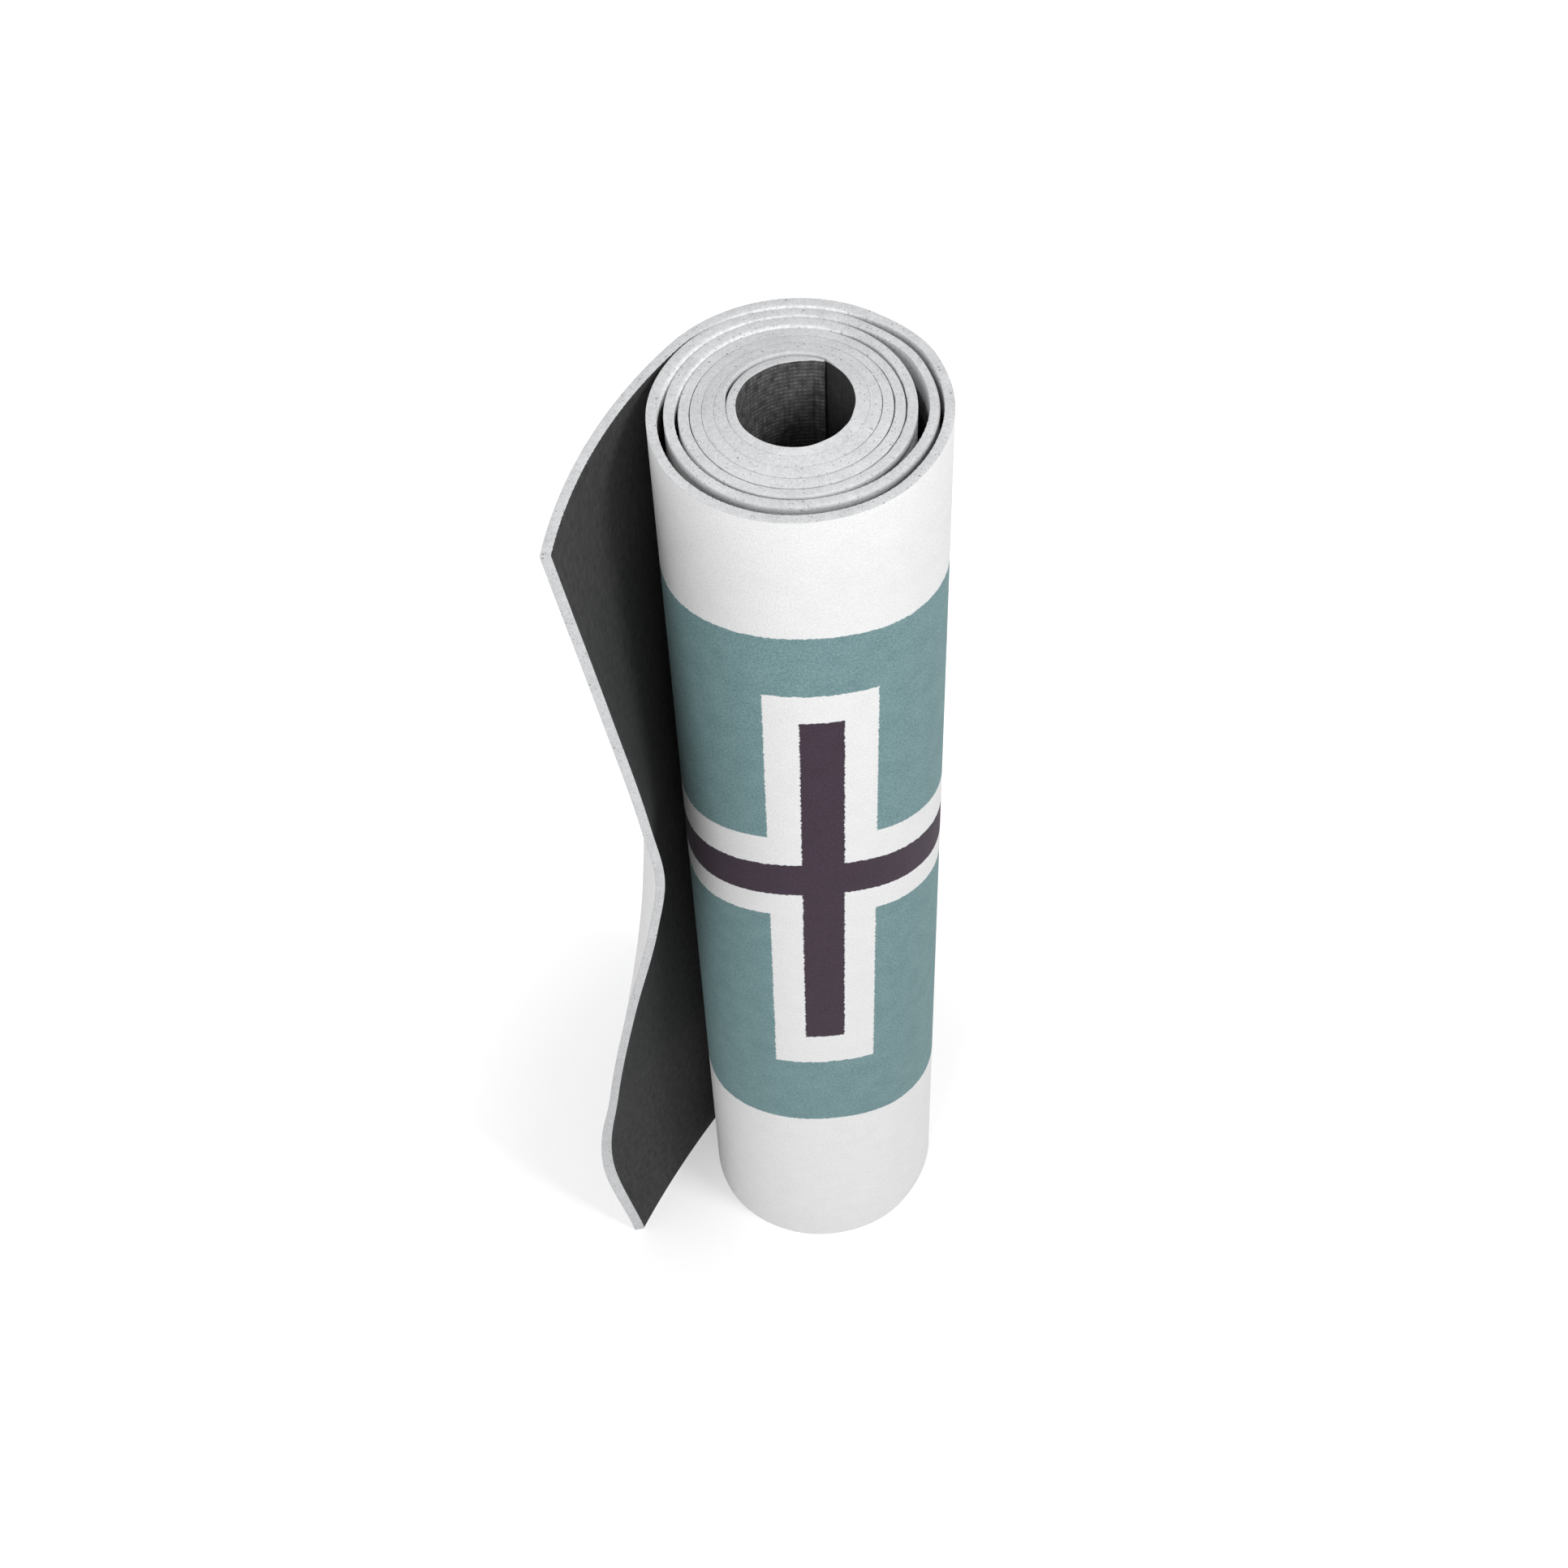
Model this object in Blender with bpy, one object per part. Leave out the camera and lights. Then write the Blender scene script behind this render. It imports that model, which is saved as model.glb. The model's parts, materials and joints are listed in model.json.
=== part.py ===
"""Rolled exercise mat standing on its long edge, with its loose end sprung away from the roll.

The mat is one laminated sheet: a printed face that looks outwards, a foam core and a grip backing
that looks at the roll's eye. A place on the sheet is given by how far it is along the mat, how high
it is across the mat and how deep it is in the sheet, and one formula rolls that place up. Along the
roll the distance is a count of turns from the inner end; along the loose end it is a length from
where the sheet leaves the roll. The loose end is cut into two strips, each turning on an upright
living hinge.

The roll's axis is the origin while the pieces are shaped. At the end the whole mat is moved so
that the centre of its footprint is at the world's origin, with the floor at zero height.
"""

import math

import bmesh
import bpy
import numpy as np

# The sheet
MAT_WIDTH = 0.610
FACE_THICKNESS = 0.0004
CORE_THICKNESS = 0.0034
BACKING_THICKNESS = 0.0004
GLUE_GAP = 0.0001
SKIN_INSET = 0.0003

# The roll: turns are counted from the inner end, which lies at the back of the eye
EYE_RADIUS = 0.0233
CONTACT_GAP = 0.0005
EYE_OFFSET_X = -0.0006
EYE_OFFSET_Y = -0.0004
INNER_END_AZIMUTH = math.radians(62)
TURNS = 7 + 74 / 360

# The first turn climbs over the mat's own inner end, and the second settles back onto it
CLIMB_START_TURN = 0.59
SETTLE_TURNS = 0.30

# The eye sits off the roll's axis, and the outermost turns come back to it
CENTRING_START_TURN = 4.65
CENTRING_TURNS = 1.2

# The inner turns stand a little proud of the outer ones
INNER_RISE = 0.0044
RISE_TURNS = 4.2
RISE_POWER = 1.3

# Where the outer turns stand apart: turn, and share of the widest gap
WIDEST_GAP = 0.0035
GAP_shares = (
    (4.85, 0.00),
    (5.11, 0.46),
    (5.33, 0.40),
    (5.47, 0.37),
    (5.60, 0.31),
    (5.71, 0.57),
    (5.83, 1.00),
    (5.90, 0.83),
    (5.99, 0.09),
    (6.10, 0.09),
    (6.22, 0.49),
    (6.33, 0.71),
    (6.43, 0.97),
    (6.51, 0.91),
    (6.63, 0.86),
    (6.83, 0.31),
    (6.97, 0.51),
    (7.09, 0.31),
    (TURNS, 0.00),
)

# The loose end, from where the sheet leaves the roll to the free edge
LOOSE_LENGTH_BOTTOM = 0.1150
LOOSE_LENGTH_TOP = 0.1315
PEEL_LENGTH = 0.012

# How far the loose end curls towards the roll: share of the mat's width up from the floor, degrees
CURL_DEGREES = (
    (0.00, 15.0),
    (0.11, 0.5),
    (0.26, 15.0),
    (0.43, 36.5),
    (0.56, 54.5),
    (0.63, 61.0),
    (0.70, 57.5),
    (0.84, 46.5),
    (1.00, 32.5),
)

# The living hinges: the root only opens, and the tip opens and closes towards the roll
HINGE_GAP = 0.0003
TIP_HINGE_share = 0.42
TIP_OPENS = math.radians(25)
TIP_CLOSES = math.radians(12)

# Facets
SEGMENTS_PER_TURN = 36
ROLL_ROWS = 1
LOOSE_COLUMNS = 5
LOOSE_ROWS = 16
PATH_STEPS = 64
TURN_STEP = 0.001
SHARP_ANGLE = math.radians(40)

WHITE = (0.90, 0.90, 0.90, 1.0)
LIGHT_GREY = (0.68, 0.69, 0.70, 1.0)
BLACK = (0.035, 0.035, 0.035, 1.0)

MAT_THICKNESS = FACE_THICKNESS + CORE_THICKNESS + BACKING_THICKNESS + 2 * GLUE_GAP
PITCH = MAT_THICKNESS + CONTACT_GAP
OUTER_SIDE = MAT_THICKNESS / 2
FACE_SIDES = (OUTER_SIDE - FACE_THICKNESS, OUTER_SIDE)
BACKING_SIDES = (-OUTER_SIDE, BACKING_THICKNESS - OUTER_SIDE)
CORE_SIDES = (BACKING_SIDES[1] + GLUE_GAP, FACE_SIDES[0] - GLUE_GAP)

# Layer: its sides as distances outwards from the sheet's middle, inset, colour, roughness
LAYERS = {
    "face": (FACE_SIDES, SKIN_INSET, WHITE, 0.6),
    "core": (CORE_SIDES, 0, LIGHT_GREY, 0.9),
    "backing": (BACKING_SIDES, SKIN_INSET, BLACK, 0.75),
}


def clear_scene():
    for obj in list(bpy.data.objects):
        bpy.data.objects.remove(obj, do_unlink=True)


def smooth(share):
    """0 to 1 with level ends."""
    share = np.clip(share, 0.0, 1.0)
    return share * share * (3 - 2 * share)


def along(table, place):
    """The table's value at this place, eased from each row to the next."""
    for (start, low), (end, high) in zip(table, table[1:]):
        if place <= end:
            return low + (high - low) * smooth((place - start) / (end - start))
    return table[-1][1]


def curved(table, place):
    """The table's value at this place, on one smooth curve through all of its rows."""
    places = np.array([row[0] for row in table])
    values = np.array([row[1] for row in table])
    slopes = np.gradient(values, places)
    i = int(np.clip(np.searchsorted(places, place) - 1, 0, len(places) - 2))
    span = places[i + 1] - places[i]
    t = (place - places[i]) / span
    return (
        values[i] * (1 + 2 * t) * (1 - t) ** 2
        + slopes[i] * span * t * (1 - t) ** 2
        + values[i + 1] * t**2 * (3 - 2 * t)
        + slopes[i + 1] * span * t**2 * (t - 1)
    )


def gap_under(turn):
    """How much farther apart than in contact this turn and the one inside it lie."""
    settle = (turn - 1) / SETTLE_TURNS
    if 0 <= settle < 1:
        climb_slope = PITCH / (1 - CLIMB_START_TURN)
        return climb_slope * SETTLE_TURNS * settle * (1 - settle) ** 2
    if turn < GAP_shares[0][0]:
        return 0
    return WIDEST_GAP * along(GAP_shares, turn)


def turn_radius(turn):
    """Radius of the sheet's middle: a climb over the inner end, then turn laid on turn."""
    first = turn % 1
    climb = max(0, (first - CLIMB_START_TURN) / (1 - CLIMB_START_TURN))
    radius = EYE_RADIUS + OUTER_SIDE + PITCH * climb**2 * (2 - climb)
    for lap in range(1, int(turn) + 1):
        radius += PITCH + gap_under(first + lap)
    return radius


def roll_point(turn):
    azimuth = INNER_END_AZIMUTH + 2 * math.pi * turn
    off_axis = 1 - smooth((turn - CENTRING_START_TURN) / CENTRING_TURNS)
    eye = np.array([EYE_OFFSET_X, EYE_OFFSET_Y]) * off_axis
    return eye + turn_radius(turn) * np.array([math.cos(azimuth), math.sin(azimuth)])


def roll_heading(turn):
    start = max(0, turn - TURN_STEP)
    before = roll_point(start)
    after = roll_point(start + TURN_STEP)
    return math.atan2(after[1] - before[1], after[0] - before[0])


def outwards(heading):
    """Across the sheet, from its middle to the printed side, for this direction along it."""
    return np.array([math.sin(heading), -math.cos(heading)])


def rise(turn):
    return INNER_RISE * max(0, 1 - turn / RISE_TURNS) ** RISE_POWER


def loose_length(height_share):
    return LOOSE_LENGTH_BOTTOM + (LOOSE_LENGTH_TOP - LOOSE_LENGTH_BOTTOM) * height_share


def loose_path(length, curl):
    """End and heading of the sheet's middle, this far from the roll, for a curl per length."""
    start_curl = 1 / turn_radius(TURNS)
    step = length / PATH_STEPS
    middles = (np.arange(PATH_STEPS) + 1 / 2) * step
    peeled = smooth(middles / PEEL_LENGTH)
    bends = (start_curl * (1 - peeled) + curl * peeled) * step
    headings = roll_heading(TURNS) + np.cumsum(bends) - bends / 2
    steps = np.array([np.cos(headings), np.sin(headings)]).sum(axis=1) * step
    return roll_point(TURNS) + steps, headings[-1] + bends[-1] / 2


def loose_curl(height_share):
    return math.radians(curved(CURL_DEGREES, height_share)) / loose_length(height_share)


def root_hinge():
    """Plan place of the hinge where the sheet leaves the roll, on the printed side."""
    return roll_point(TURNS) + outwards(roll_heading(TURNS)) * OUTER_SIDE


def tip_hinge():
    """Plan place of the hinge between the strips, for the loose end's middling curl, and heading."""
    curls = [degrees for _, degrees in CURL_DEGREES]
    length = (LOOSE_LENGTH_BOTTOM + LOOSE_LENGTH_TOP) / 2
    curl = math.radians(min(curls) + max(curls)) / 2 / length
    place, heading = loose_path(TIP_HINGE_share * length, curl)
    return place + outwards(heading) * OUTER_SIDE, heading


def tip_clearance(near, far):
    """How far the tip's cut edge stands back from its hinge, so that it clears as it swings.

    near and far are how far the edge's two sides lie from the hinge, towards the roll's eye.
    """
    return HINGE_GAP + max(0, far * math.tan(TIP_CLOSES), -near * math.tan(TIP_OPENS))


def roll_place(layer, share, height_share):
    """Sheet's middle and heading, and how far it stands proud, at a share of the roll's columns."""
    turn = min(share * roll_columns() / SEGMENTS_PER_TURN, TURNS)
    return roll_point(turn), roll_heading(turn), rise(turn)


def roll_columns():
    return math.ceil(TURNS * SEGMENTS_PER_TURN)


def root_strip_place(layer, share, height_share):
    """The same for the strip next to the roll."""
    length = max(HINGE_GAP, share * TIP_HINGE_share * loose_length(height_share))
    return *loose_path(length, loose_curl(height_share)), 0


def tip_strip_place(layer, share, height_share):
    """The same for the strip that ends at the mat's free edge."""
    (inner, outer), inset, _, _ = LAYERS[layer]
    curl = loose_curl(height_share)
    end = loose_length(height_share)
    cut = TIP_HINGE_share * end
    at_cut, heading = loose_path(cut, curl)
    hinge, hinge_heading = tip_hinge()
    middle_depth = np.dot(hinge - at_cut, outwards(hinge_heading))
    start = cut + tip_clearance(middle_depth - outer, middle_depth - inner)
    length = np.clip(cut + share * (end - cut), start, end - inset)
    return *loose_path(length, curl), 0


def material(name, colour, roughness):
    made = bpy.data.materials.new(name)
    made.use_nodes = True
    shader = made.node_tree.nodes["Principled BSDF"]
    shader.inputs["Base Color"].default_value = colour
    shader.inputs["Roughness"].default_value = roughness
    shader.inputs["Metallic"].default_value = 0.0
    made.diffuse_color = colour
    return made


def add_sheet(piece, layer, place, columns, rows, origin, parent, collection):
    """One layer of one piece: a flat slab of unit size, laid over the formula's places.

    The slab's top, at zero, becomes the side nearer the print, and its underside, at minus one,
    the side nearer the eye.
    """
    sides, inset, colour, roughness = LAYERS[layer]
    name = f"{piece}_{layer}"
    slab = bmesh.new()
    bmesh.ops.create_grid(slab, x_segments=columns, y_segments=rows, size=0.5)
    bmesh.ops.triangulate(slab, faces=slab.faces[:], quad_method="FIXED")
    bmesh.ops.solidify(slab, geom=slab.faces[:], thickness=1)
    for vertex in slab.verts:
        height = np.clip(MAT_WIDTH * (vertex.co.y + 0.5), inset, MAT_WIDTH - inset)
        middle, heading, raised = place(layer, vertex.co.x + 0.5, height / MAT_WIDTH)
        side = sides[round(vertex.co.z) + 1]
        plan = middle + outwards(heading) * side - origin
        vertex.co = (plan[0], plan[1], height + raised)
    mesh = bpy.data.meshes.new(name)
    slab.to_mesh(mesh)
    slab.free()
    mesh.materials.append(material(name, colour, roughness))
    mesh.shade_smooth()
    mesh.set_sharp_from_angle(angle=SHARP_ANGLE)
    obj = bpy.data.objects.new(name, mesh)
    collection.objects.link(obj)
    obj.parent = parent
    obj.location = (origin[0], origin[1], 0)
    return obj


def footprint_centre(pieces):
    """Middle of the box round all the pieces, seen from above."""
    bpy.context.view_layer.update()
    corners = [piece.matrix_world @ vertex.co for piece in pieces for vertex in piece.data.vertices]
    corners = np.array(corners)
    return (corners.min(axis=0) + corners.max(axis=0)) / 2


def least_turn_gap():
    """Smallest space between one turn and the next, measured between their facets' corners."""
    inner_side = []
    outer_side = []
    for station in range(roll_columns() + 1):
        middle, heading, _ = roll_place("core", station / roll_columns(), 0)
        inner_side.append(middle - outwards(heading) * OUTER_SIDE)
        outer_side.append(middle + outwards(heading) * OUTER_SIDE)
    half_turn = SEGMENTS_PER_TURN // 2
    gaps = []
    for station, corner in enumerate(outer_side[:-half_turn]):
        next_turn = np.array(inner_side[station + half_turn :])
        gaps.append(np.linalg.norm(next_turn - corner, axis=1).min())
    return min(gaps)


def build():
    clear_scene()
    collection = bpy.data.collections.new("yoga_mat")
    bpy.context.scene.collection.children.link(collection)
    root = bpy.data.objects.new("mat_frame", None)
    collection.objects.link(root)

    axis = np.zeros(2)
    tip, _ = tip_hinge()
    pieces = []
    for name, place, columns, rows, origin in (
        ("roll", roll_place, roll_columns(), ROLL_ROWS, axis),
        ("root_strip", root_strip_place, LOOSE_COLUMNS, LOOSE_ROWS, root_hinge()),
        ("tip_strip", tip_strip_place, LOOSE_COLUMNS, LOOSE_ROWS, tip),
    ):
        for layer in LAYERS:
            made = add_sheet(name, layer, place, columns, rows, origin, root, collection)
            pieces.append(made)

    centre = footprint_centre(pieces)
    root.location = (-centre[0], -centre[1], 0)
    print(f"least gap between turns {least_turn_gap():.5f} m")


build()
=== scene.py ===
"""Looks of a rolled exercise mat that stands on its long edge, with a loose end that curls away.

The mat is one laminated sheet: a printed suede face that looks outwards, a foam core and a black
rubber backing. A place on it is given by how far along the mat it is, how high across the mat and
how deep in the sheet. One formula winds that place up, for whole numpy arrays of places at once.
Lengths are in metres, and the roll's axis is the origin until in_frame moves them to their place.
"""

import json
import math
from typing import NamedTuple

import bpy
import numpy as np
from mathutils import Matrix, Vector


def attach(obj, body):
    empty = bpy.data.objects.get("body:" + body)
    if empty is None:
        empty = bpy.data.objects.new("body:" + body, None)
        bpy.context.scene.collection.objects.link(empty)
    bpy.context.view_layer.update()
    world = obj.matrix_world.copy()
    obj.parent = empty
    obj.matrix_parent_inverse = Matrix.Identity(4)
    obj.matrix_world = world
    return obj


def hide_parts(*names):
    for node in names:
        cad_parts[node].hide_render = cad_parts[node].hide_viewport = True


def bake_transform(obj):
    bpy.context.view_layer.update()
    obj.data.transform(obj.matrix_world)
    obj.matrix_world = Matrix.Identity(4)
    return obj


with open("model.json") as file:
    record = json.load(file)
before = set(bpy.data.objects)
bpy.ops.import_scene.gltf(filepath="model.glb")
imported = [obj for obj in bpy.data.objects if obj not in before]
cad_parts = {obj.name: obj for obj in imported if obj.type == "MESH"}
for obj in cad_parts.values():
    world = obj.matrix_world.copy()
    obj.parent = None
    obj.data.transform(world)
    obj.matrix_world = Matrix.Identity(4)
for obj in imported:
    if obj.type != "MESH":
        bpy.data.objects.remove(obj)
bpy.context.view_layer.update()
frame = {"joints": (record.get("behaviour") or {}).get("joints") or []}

PIECE_NAMES = {"face": "printed_face", "core": "foam_core", "backing": "grip_backing"}

# The sheet, as the solids have it
MAT_WIDTH = 0.610
MAT_THICKNESS = 0.0044
CONTACT_GAP = 0.0005
PITCH = MAT_THICKNESS + CONTACT_GAP
OUTER_SIDE = MAT_THICKNESS / 2

# The winding, as the solids have it: turns are counted from the inner end, and the gap under each
# is a share of the widest
EYE_RADIUS = 0.0233
EYE_OFFSET = np.array([-0.0006, -0.0004])
INNER_END_AZIMUTH = math.radians(62)
TURNS = 7 + 74 / 360
CLIMB_START_TURN = 0.59
SETTLE_TURNS = 0.30
CENTRING_START_TURN = 4.65
CENTRING_TURNS = 1.2
INNER_RISE = 0.0044
RISE_TURNS = 4.2
RISE_POWER = 1.3
TURN_STEP = 0.001
MEASURING_STEPS = 4096
WIDEST_GAP = 0.0035
GAP_SHARES = (
    (4.85, 0.00),
    (5.11, 0.46),
    (5.33, 0.40),
    (5.47, 0.37),
    (5.60, 0.31),
    (5.71, 0.57),
    (5.83, 1.00),
    (5.90, 0.83),
    (5.99, 0.09),
    (6.10, 0.09),
    (6.22, 0.49),
    (6.33, 0.71),
    (6.43, 0.97),
    (6.51, 0.91),
    (6.63, 0.86),
    (6.83, 0.31),
    (6.97, 0.51),
    (7.09, 0.31),
    (TURNS, 0.00),
)

# The loose end, as the solids have it: share of the mat's width up from the floor, degrees of curl
LOOSE_LENGTH_BOTTOM = 0.1150
LOOSE_LENGTH_TOP = 0.1315
PEEL_LENGTH = 0.012
PATH_STEPS = 64
TIP_HINGE_SHARE = 0.42
CURL_DEGREES = (
    (0.00, 11.3),
    (0.11, 0.5),
    (0.26, 15.0),
    (0.43, 36.5),
    (0.56, 54.5),
    (0.63, 61.0),
    (0.70, 57.5),
    (0.84, 46.5),
    (1.00, 32.5),
)

# Near the floor the sheet turns a little where it peels off, and then runs almost straight
FOOT_TURN = math.radians(2.0)
FOOT_TURN_SHARE = 0.11

# The layers as they show: the skins are thin, and the cut foam has a lip over each of them
FACE_SKIN = 0.00030
BACKING_SKIN = 0.00025
SKIN_OVERLAP = 0.00003
SKIN_CLEARANCE = 0.00002
BACKING_LIP = 0.0003
FACE_LIP = 0.00005
TIGHT_FACE_LIP = 0.0009
FACE_ARRIS = 0.00012
CUT_ARRIS = 0.00020
FOOT_ARRIS = 0.00030
FLAT_REACH = 0.00004

# Pressed together, the tight turns fill most of the space that the solids leave between them.
# Their sides ripple as the knife's nicks do, in waves that are so many times as long
TURN_SWELL = 0.00021
SWELL_RIPPLE = 0.00003
RIPPLE_STRETCH = 3
SWELL_SHARES = (
    (0.00, 1.00),
    (2.50, 1.00),
    (2.83, 0.40),
    (3.10, 0.90),
    (3.45, 0.90),
    (3.83, 0.30),
    (4.10, 0.75),
    (4.40, 0.30),
    (4.55, 0.00),
    (TURNS, 0.00),
)

# The rim of the eye: how far the innermost turn's inner side stands in, by turn. Its end is skived
END_WRAP_TURNS = 0.002
RIM_BULGE = (
    (0.000, -0.0036),
    (0.020, -0.0028),
    (0.055, -0.0010),
    (0.095, 0.0000),
    (0.175, 0.0003),
    (0.240, -0.0005),
    (0.330, -0.0008),
    (0.410, -0.0012),
    (0.480, -0.0010),
    (0.600, -0.0009),
    (0.670, -0.0003),
    (0.740, 0.0002),
    (0.800, 0.0009),
    (0.870, 0.0011),
    (0.965, 0.0010),
    (1.000, 0.0000),
    (TURNS, 0.0000),
)

# How the cut foam rounds over towards the print side and towards the backing, by turn
OUTER_ROUND = (
    (0.00, 0.00020),
    (0.06, 0.00070),
    (0.34, 0.00070),
    (0.44, 0.00008),
    (2.60, 0.00008),
    (2.83, 0.00030),
    (3.05, 0.00008),
    (3.60, 0.00040),
    (3.83, 0.00090),
    (4.05, 0.00040),
    (4.40, 0.00050),
    (4.62, 0.00100),
    (4.80, 0.00030),
    (5.35, 0.00030),
    (5.62, 0.00130),
    (5.83, 0.00160),
    (6.00, 0.00080),
    (6.15, 0.00020),
    (TURNS, 0.00020),
)
INNER_ROUND = (
    (0.00, 0.00025),
    (0.90, 0.00025),
    (1.00, 0.00008),
    (2.60, 0.00008),
    (2.83, 0.00025),
    (3.05, 0.00008),
    (3.60, 0.00020),
    (3.83, 0.00050),
    (4.05, 0.00020),
    (TURNS, 0.00020),
)
OUTER_DROP_SHARE = 1.25

# Over how much of a turn the groove, the sag and the lips below fade in and out
FADE_TURNS = 0.08

# Behind the innermost turn's end the next turn stands clear of it, and a dark groove shows
GROOVE_TURN = 1.14
GROOVE_HALF_TURNS = 0.11
GROOVE_ROUND = 0.0012
GROOVE_DROP = 0.0019
GROOVE_WIDTH = 0.0011

# At the back the outer turns' foam has sagged over their inner side, and closes the gaps. From a
# small drop below the top its slope is painted pale, a painted highlight where it faces the lamps
SAG_FROM_TURN = 4.75
SAG_AZIMUTH = math.radians(117)
SAG_HALF_WIDTH = math.radians(33)
SAG_FADE = math.radians(38)
SAG_DROP = 0.0024
SAG_CLEARANCE = 0.0001
HIGHLIGHT_FROM_DROP = 0.0004

# All round, the outer turns' foam also reaches down over their backing, farthest at the right
OUTER_LIP = 0.0028
DEEP_LIP = 0.0110
DEEP_LIP_AZIMUTH = math.radians(20)
DEEP_LIP_FADE = math.radians(130)

# Where another turn stands clear of it, a turn's foam reaches down over its print side. At the
# right it is darkened there with painted shade, in full from this drop below the top
GAP_FROM_TURN = 4.45
GAP_FACE_LIP = 0.0045
GAP_SHADE_DROP = 0.0040
GAP_SHADE_AZIMUTH = math.radians(325)
GAP_SHADE_HALF_WIDTH = math.radians(20)
GAP_SHADE_FADE = math.radians(65)

# Dust and painted light lie on the backing's weave up to the first of these turns, where the
# eye's wall is lit, and next to none past the second, where it is in shade. In the open gaps
# painted light lies in full down to the first of these drops below the top, and none below the
# second
FULL_DUST_AND_LIGHT_TURN, FAINT_DUST_AND_LIGHT_TURN = 0.45, 0.75
FAINT_DUST_AND_LIGHT = 0.06
FULL_GAP_LIGHT_DROP, LAST_GAP_LIGHT_DROP = 0.010, 0.040

# The knife leaves small nicks in the foam's inner arris
NICK_DEPTH = 0.00016
NICK_WAVES = ((0.0021, 0.3), (0.0013, 1.9), (0.0034, 4.1))

# The free edge: the foam goes on past the skins, and near the floor the cut slants outwards
END_DEPTH = 0.0004
END_ROUND = 0.0003
SLANT_FROM_SHARE = 0.6
SLANT_LENGTHS = (
    (0.00, 0.0030),
    (0.09, 0.0040),
    (0.17, 0.0028),
    (0.26, 0.0004),
    (0.50, 0.0000),
    (1.00, 0.0005),
)

# Grids
TIGHT_COLUMNS_PER_TURN = 120
OUTER_COLUMNS_PER_TURN = {"face": 200, "core": 560, "backing": 200}
OUTER_FROM_TURN = 5.15
LOOSE_COLUMNS = 150
SIDE_ROWS = {"face": 16, "core": 1, "backing": 2}
LOOSE_ROWS = 90
ARRIS_POINTS = 5
SHARP_ANGLE = math.radians(38)

# The print, by place along the mat from where it leaves the roll, and by height. Its upright bars
# lean by a share of the height, and the ink's outlines wander
FIGURE_PLACE = -0.2476
FIGURE_LEAN_SHARE = 0.0095
BOX_HALF_WIDTH = 0.0260
BOX_BOTTOM, BOX_TOP = 0.1965, 0.5007
BAR_HALF_WIDTH = 0.0100
BAR_BOTTOM, BAR_TOP = 0.2220, 0.4823
BAND_BOTTOM, BAND_TOP = 0.1364, 0.5388
STRIPE_BOTTOM, STRIPE_TOP = 0.3340, 0.3970
LINE_BOTTOM, LINE_TOP = 0.3512, 0.3756
INK_BLUR = 0.00025
INK_WANDER = 0.0020
INK_WANDER_SPACING = 0.0019

# The print stops short of the mat's free edge, which runs at a slant across the unrolled end
MARGIN_PLACE = 0.044
MARGIN_SLANT_SHARE = 0.027

# The printed lines stand highest at the front of the roll, and lean down a little to the right:
# share of the mat's width, and share of the widest drop
WIDEST_DROP = 0.0247
LINE_LEAN = 0.0040
DROP_SHARES = ((0.00, 0.81), (0.22, 0.83), (0.60, 1.00), (0.88, 0.50), (1.00, 0.40))

# How far apart the suede's grains, tufts, clouds of dye and ribs lie: 0.9, 1.6, 11 and 1.1 mm
NAP_SPACING = 1 / 1100
TUFT_SPACING = 1 / 620
DYE_CLOUD_SPACING = 1 / 90
RIB_SPACING = 0.0011

# The foam's cells, tears and clouds: 0.8, 1.8 and 13 mm. Grit is its spots' spacing and radius,
# and the share of them that is there. A spot is darkest up to a share of its radius
CELL_SPACING = 1 / 1250
TEAR_SPACING = 1 / 560
FOAM_CLOUD_SPACING = 1 / 75
FINE_GRIT = (0.0015, 0.00036, 0.35)
COARSE_GRIT = (0.0036, 0.00062, 0.30)
SPOT_CORE_SHARE = 0.6

# The rubber's raised threads, its streaks, 1.4 mm apart and drawn out across the mat, and its
# clouds of 3.8 mm. Lint is given as grit is
UPRIGHT_THREAD_SPACING = 0.0024
LEVEL_THREAD_SPACING = 0.0021
STREAK_SPACING = 1 / 700
STREAK_STRETCH = 10
RUBBER_CLOUD_SPACING = 1 / 260
LINT = (0.0045, 0.00035, 0.25)

# A wave texture of scale 1 has its bands this far apart
WAVE_SPACING = 2 * math.pi / 20

# The floor's glow near the mat and far from it, the distances between which it eases from the
# one to the other, and the light that the white room gives the mat
FLOOR_SIZE = 8
NEAR_GLOW, FAR_GLOW = 0.31, 0.54
GLOW_FROM, GLOW_TO = 0.10, 0.28
ROOM_LIGHT = 0.62

# Camera, from the fit of the roll's rim and foot
CAMERA_DISTANCE = 0.7345
CAMERA_HEIGHT = 1.3488
CAMERA_PITCH = math.radians(53.47)
CAMERA_YAW = math.radians(0.94)
CAMERA_ROLL = math.radians(2.67)
CAMERA_LENS = 58.72


def smooth(share):
    """0 to 1 with level ends."""
    share = np.clip(share, 0.0, 1.0)
    return share * share * (3 - 2 * share)


def eased(table, place):
    """The table's value at each place, eased from each row to the next."""
    places, values = np.array(table).T
    i = np.clip(np.searchsorted(places, place) - 1, 0, len(places) - 2)
    share = smooth((place - places[i]) / (places[i + 1] - places[i]))
    return values[i] + (values[i + 1] - values[i]) * share


def curved(table, place):
    """The table's value at each place, on one smooth cubic through all of its rows."""
    places, values = np.array(table).T
    slopes = np.gradient(values, places)
    i = np.clip(np.searchsorted(places, place) - 1, 0, len(places) - 2)
    span = places[i + 1] - places[i]
    t = (place - places[i]) / span
    return (
        values[i] * (1 + 2 * t) * (1 - t) ** 2
        + slopes[i] * span * t * (1 - t) ** 2
        + values[i + 1] * t**2 * (3 - 2 * t)
        + slopes[i + 1] * span * t**2 * (t - 1)
    )


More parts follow.
